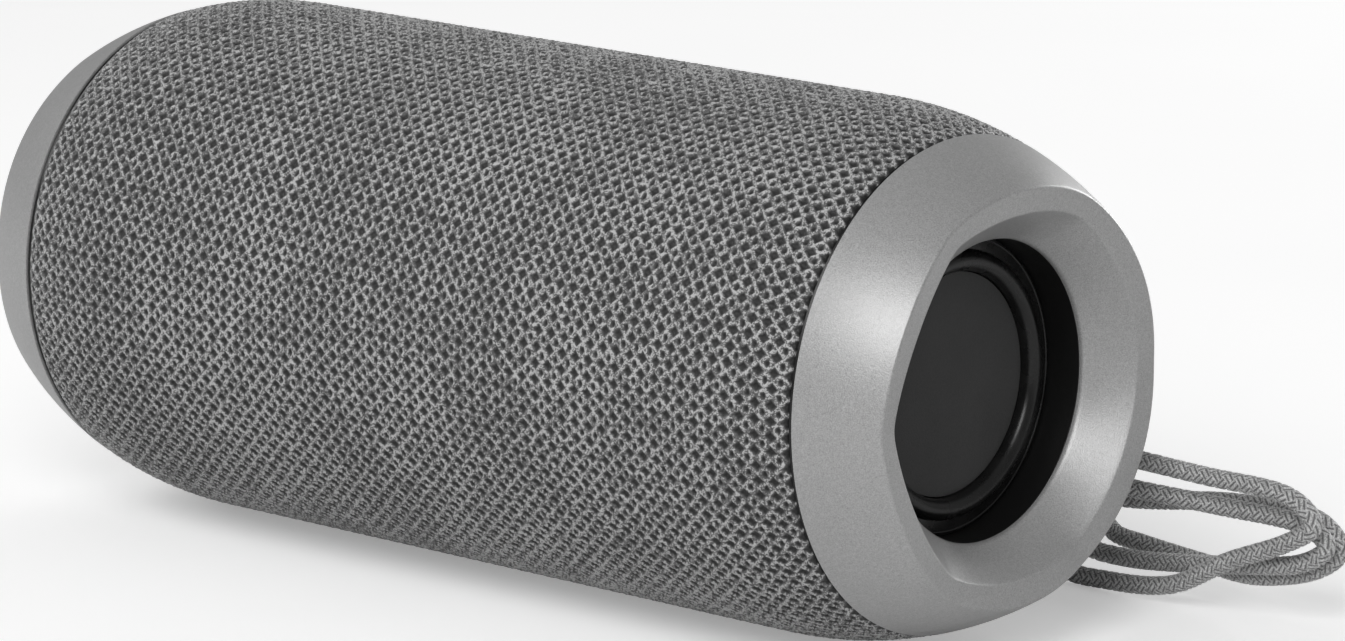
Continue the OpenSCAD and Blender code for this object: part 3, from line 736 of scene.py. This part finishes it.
def steady_frames(curve):
    """Along, across and over directions that turn as little as possible round a closed curve."""
    along = np.roll(curve, -1, axis=0) - np.roll(curve, 1, axis=0)
    along /= np.linalg.norm(along, axis=1, keepdims=True)
    across = np.zeros_like(curve)
    side = np.cross(along[0], (0, 0, 1))
    for k, direction in enumerate(along):
        side = side - direction * side.dot(direction)
        side = side / np.linalg.norm(side)
        across[k] = side
    over = np.cross(along, across)
    left_over = math.atan2(across[-1].dot(over[0]), across[-1].dot(across[0]))
    untwist = -left_over * np.arange(len(curve)) / len(curve)
    turned = across * np.cos(untwist)[:, None] + over * np.sin(untwist)[:, None]
    return turned, np.cross(along, turned)


def braid_height(turn, distance):
    """Height of the braid from 0 to 1, with strands that pass over and under in turn."""
    first = STRANDS * (turn + distance)
    second = STRANDS * (turn - distance)
    on_top = (np.floor(first / 2 + 0.25) + np.floor(second / 2 + 0.25)) % 2 < 1
    ridge_a = np.cos(math.pi * (fraction(first) - 0.5))
    ridge_b = np.cos(math.pi * (fraction(second) - 0.5))
    return np.where(on_top, ridge_a, ridge_b)


def cord_turn(t):
    """Points, faces and braid coordinates of one braided turn."""
    curve, length = even_spacing(closed_spline(strap_turn(t), SPLINE_STEPS), CORD_STEP)
    across, over = steady_frames(curve)
    pitches = round(length / BRAID_PITCH)
    turn = np.arange(CORD_SIDES)[None, :] / CORD_SIDES
    distance = np.arange(len(curve))[:, None] * pitches / len(curve)
    height = braid_height(turn, distance)
    radius = (CORD_R - BRAID_RELIEF * (1 - height))[:, :, None]
    angle = 2 * math.pi * turn[:, :, None]
    points = curve[:, None] + radius * (np.cos(angle) * across[:, None] + np.sin(angle) * over[:, None])
    faces = grid_faces(len(curve), CORD_SIDES, True, True)
    i, j = faces // CORD_SIDES, faces % CORD_SIDES
    i = np.where((i.max(1) - i.min(1) > 1)[:, None] & (i == 0), len(curve), i)
    j = np.where((j.max(1) - j.min(1) > 1)[:, None] & (j == 0), CORD_SIDES, j)
    uv = np.stack([j / CORD_SIDES, i * pitches / len(curve)], -1)
    return points.reshape(-1, 3), faces, uv


def build_cord():
    """All the turns of the strap as one mesh."""
    points, faces, uv = [], [], []
    for t in range(CORD_TURNS):
        turn_points, turn_faces, turn_uv = cord_turn(t)
        faces.append(turn_faces + sum(len(earlier) for earlier in points))
        points.append(turn_points)
        uv.append(turn_uv)
    cord = add_mesh("braided_cord", np.concatenate(points), np.concatenate(faces)[:, ::-1])
    layer = cord.data.uv_layers.new(name="braid")
    layer.data.foreach_set("uv", np.concatenate(uv)[:, ::-1].reshape(-1).astype(np.float32))
    return cord


def cord_material():
    """Braided grey polyester with fine filaments along each strand, and painted shade that darkens each
    strand from its crown into the grooves between strands.
    """
    s = Shader("cord_braid")
    uv = s.node("UVMap", uv_map="braid").outputs[0]
    split = s.node("SeparateXYZ")
    s.put(split.inputs[0], uv)
    turn, distance = split.outputs[0], split.outputs[1]
    first = s.math("MULTIPLY", s.math("ADD", turn, distance), float(STRANDS))
    second = s.math("MULTIPLY", s.math("SUBTRACT", turn, distance), float(STRANDS))
    lift = 4000.0   # keeps the strands' numbers above zero
    parts = [s.math("FLOOR", s.math("ADD", s.math("MULTIPLY", line, 0.5), 0.25))
             for line in (first, second)]
    on_top = s.math("COMPARE", s.math("FLOORED_MODULO", s.math("ADD", *parts), 2.0), 0.0, 0.5)
    ridges = [s.math("SINE", s.math("MULTIPLY", s.math("FRACT", s.math("ADD", line, lift)), math.pi))
              for line in (first, second)]
    under = s.math("SUBTRACT", 1.0, on_top)
    ridge = s.math("ADD", s.math("MULTIPLY", on_top, ridges[0]), s.math("MULTIPLY", under, ridges[1]))
    fibre = s.noise(6.0, 2)
    yarn = s.noise(1.2, 2)
    # Painted shade: the colour darkens from each strand's crown into the grooves between the strands.
    tone_with_painted_shade = s.math("MULTIPLY", s.ramp(ridge, 0.1, 0.9, 0.3, 1.0), s.ramp(fibre, 0.3, 0.7, 0.5, 1.2))
    tone_with_painted_shade = s.math("MULTIPLY", tone_with_painted_shade, s.ramp(yarn, 0.3, 0.7, 0.85, 1.1))
    colour = s.colours(tone_with_painted_shade, (0.0, grey(0.04)), (0.5, grey(0.27)), (1.0, grey(0.68)))
    return s.set(Base_Color=colour, Roughness=0.5, Sheen_Weight=0.3, Sheen_Roughness=0.45,
                 Normal=s.bump(s.math("ADD", ridge, s.math("MULTIPLY", fibre, 0.4)), 0.1, 0.8))


# ---- Stage ----

AZIMUTH = math.radians(41.45)
ELEVATION = math.radians(12.63)
AIM = Vector((0.0121, 0.0100, 0.0348))
DISTANCE = 0.971
LENS = 190.67
SENSOR = 36
FLOOR_HALF = 6000
FLOOR_GLOW = 0.32
SKY_LIGHT = 0.31
LIGHT_DISTANCE = 1.2
LIGHT_SIZE = 0.6


def build_camera():
    back = Vector((math.sin(AZIMUTH) * math.cos(ELEVATION), -math.cos(AZIMUTH) * math.cos(ELEVATION),
                   math.sin(ELEVATION)))
    camera = bpy.data.objects.new("camera", bpy.data.cameras.new("camera"))
    camera.location = AIM + back * DISTANCE
    camera.rotation_mode = "QUATERNION"
    camera.rotation_quaternion = (-back).to_track_quat("-Z", "Y")
    camera.data.lens = LENS
    camera.data.sensor_width = SENSOR
    camera.data.clip_start = 0.01
    bpy.context.scene.collection.objects.link(camera)
    bpy.context.scene.camera = camera


def soft_light(name, direction, watts):
    """A square soft box that looks at the object from direction."""
    light = bpy.data.lights.new(name, "AREA")
    light.shape = "SQUARE"
    light.size = LIGHT_SIZE
    light.energy = watts
    lamp = bpy.data.objects.new(name, light)
    towards = Vector(direction).normalized()
    lamp.location = AIM + towards * LIGHT_DISTANCE
    lamp.rotation_mode = "QUATERNION"
    lamp.rotation_quaternion = (-towards).to_track_quat("-Z", "Y")
    bpy.context.scene.collection.objects.link(lamp)
    lamp.visible_camera = False


def floor_material():
    """Pale and matt. The camera sees it a little lighter than the light that it throws back."""
    s = Shader("floor_pale")
    seen = s.node("LightPath").outputs["Is Camera Ray"]
    tint = s.colours(s.noise(0.01, 2), (0.3, grey(0.87)), (0.7, grey(0.89)))
    return s.set(Base_Color=tint, Roughness=0.9, Emission_Color=(1, 1, 1, 1),
                 Emission_Strength=s.math("MULTIPLY", seen, FLOOR_GLOW))


def build_stage():
    corners = [(x * FLOOR_HALF, y * FLOOR_HALF, 0) for x, y in ((-1, -1), (1, -1), (1, 1), (-1, 1))]
    floor = add_mesh("floor", corners, [(0, 1, 2, 3)], smooth=False)
    floor.data.materials.append(floor_material())
    world = bpy.data.worlds.new("studio")
    world.use_nodes = True
    sky = world.node_tree.nodes["Background"]
    sky.inputs["Color"].default_value = (1, 1, 1, 1)
    sky.inputs["Strength"].default_value = SKY_LIGHT
    bpy.context.scene.world = world
    bpy.context.scene.view_settings.view_transform = "Standard"
    soft_light("key", (0.41, -0.71, 0.57), 6.6)
    soft_light("fill", (-0.58, -0.58, 0.57), 3.8)
    soft_light("rim", (0, 0.99, 0.14), 7.5)


# ---- Put it together ----

def plain_materials():
    """One procedural material for each of the CAD's material slots."""
    black = grey(0.006)
    return {
        "fabric": knit_material(),
        "cord": cord_material(),
        "cap_plastic": cap_material(),
        "black_plastic": moulded("black_moulded", black, 0.38, 0.015, 5.0),
        "panel_plastic": moulded("panel_moulded", grey(0.022), 0.45, 0.03, 3.5),
        "button_plastic": button_material(),
        "rubber": rubber_material(),
        "radiator_plate": disc_material(),
        "pressed_steel": moulded("steel_black_coated", grey(0.06), 0.35, 0.01, 2.0, Metallic=0.6),
        "magnet": moulded("magnet_ferrite", grey(0.05), 0.55, 0.04, 2.5),
        "spider_cloth": moulded("spider_weave", (0.45, 0.28, 0.07), 0.8, 0.08, 1.8),
        "cone_paper": moulded("cone_pulp", grey(0.03), 0.8, 0.06, 1.5),
        "copper": moulded("copper_wire", (0.75, 0.32, 0.14), 0.3, 0.02, 6.0, Metallic=1.0),
        "clear_plastic": moulded("light_pipe", grey(0.75), 0.3, 0.01, 3.0),
        "circuit_board": moulded("board_mask", (0.01, 0.10, 0.03), 0.35, 0.02, 1.2),
        "chip_plastic": moulded("chip_resin", grey(0.02), 0.55, 0.02, 4.0),
        "connector_plastic": moulded("connector_nylon", grey(0.65), 0.5, 0.01, 3.0),
        "battery_wrap": moulded("battery_sleeve", (0.05, 0.16, 0.35), 0.3, 0.01, 1.0),
        "wire_cover": moulded("wire_jacket", (0.45, 0.02, 0.015), 0.4, 0.01, 2.0),
        "screw_steel": moulded("screw_zinc", grey(0.55), 0.28, 0.01, 6.0, Metallic=1.0),
    }


def dress(obj, materials, slot, body, *nodes):
    """Gives a new piece its finish, its body and the CAD nodes it stands for."""
    obj.data.materials.append(materials[slot])
    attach(obj, body)
    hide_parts(*nodes)


def main():
    materials = plain_materials()
    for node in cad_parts.values():
        for slot in node.material_slots:
            slot.material = materials[slot.material.name.split(".")[0]]
    dress(build_sleeve(), materials, "fabric", "housing", "fabric_sleeve")
    dress(build_cord(), materials, "cord", "strap", "strap_cord")
    dress(build_foot(), materials, "rubber", "housing", "rubber_foot")
    dress(build_cover(), materials, "rubber", "port_flap", "port_cover")
    for side, word in ((-1, "left"), (1, "right")):
        dress(build_cap(side), materials, "cap_plastic", "housing", "end_cap_" + word)
        dress(build_surround(side), materials, "rubber", "housing", "radiator_surround_" + word)
    build_stage()
    build_camera()


main()
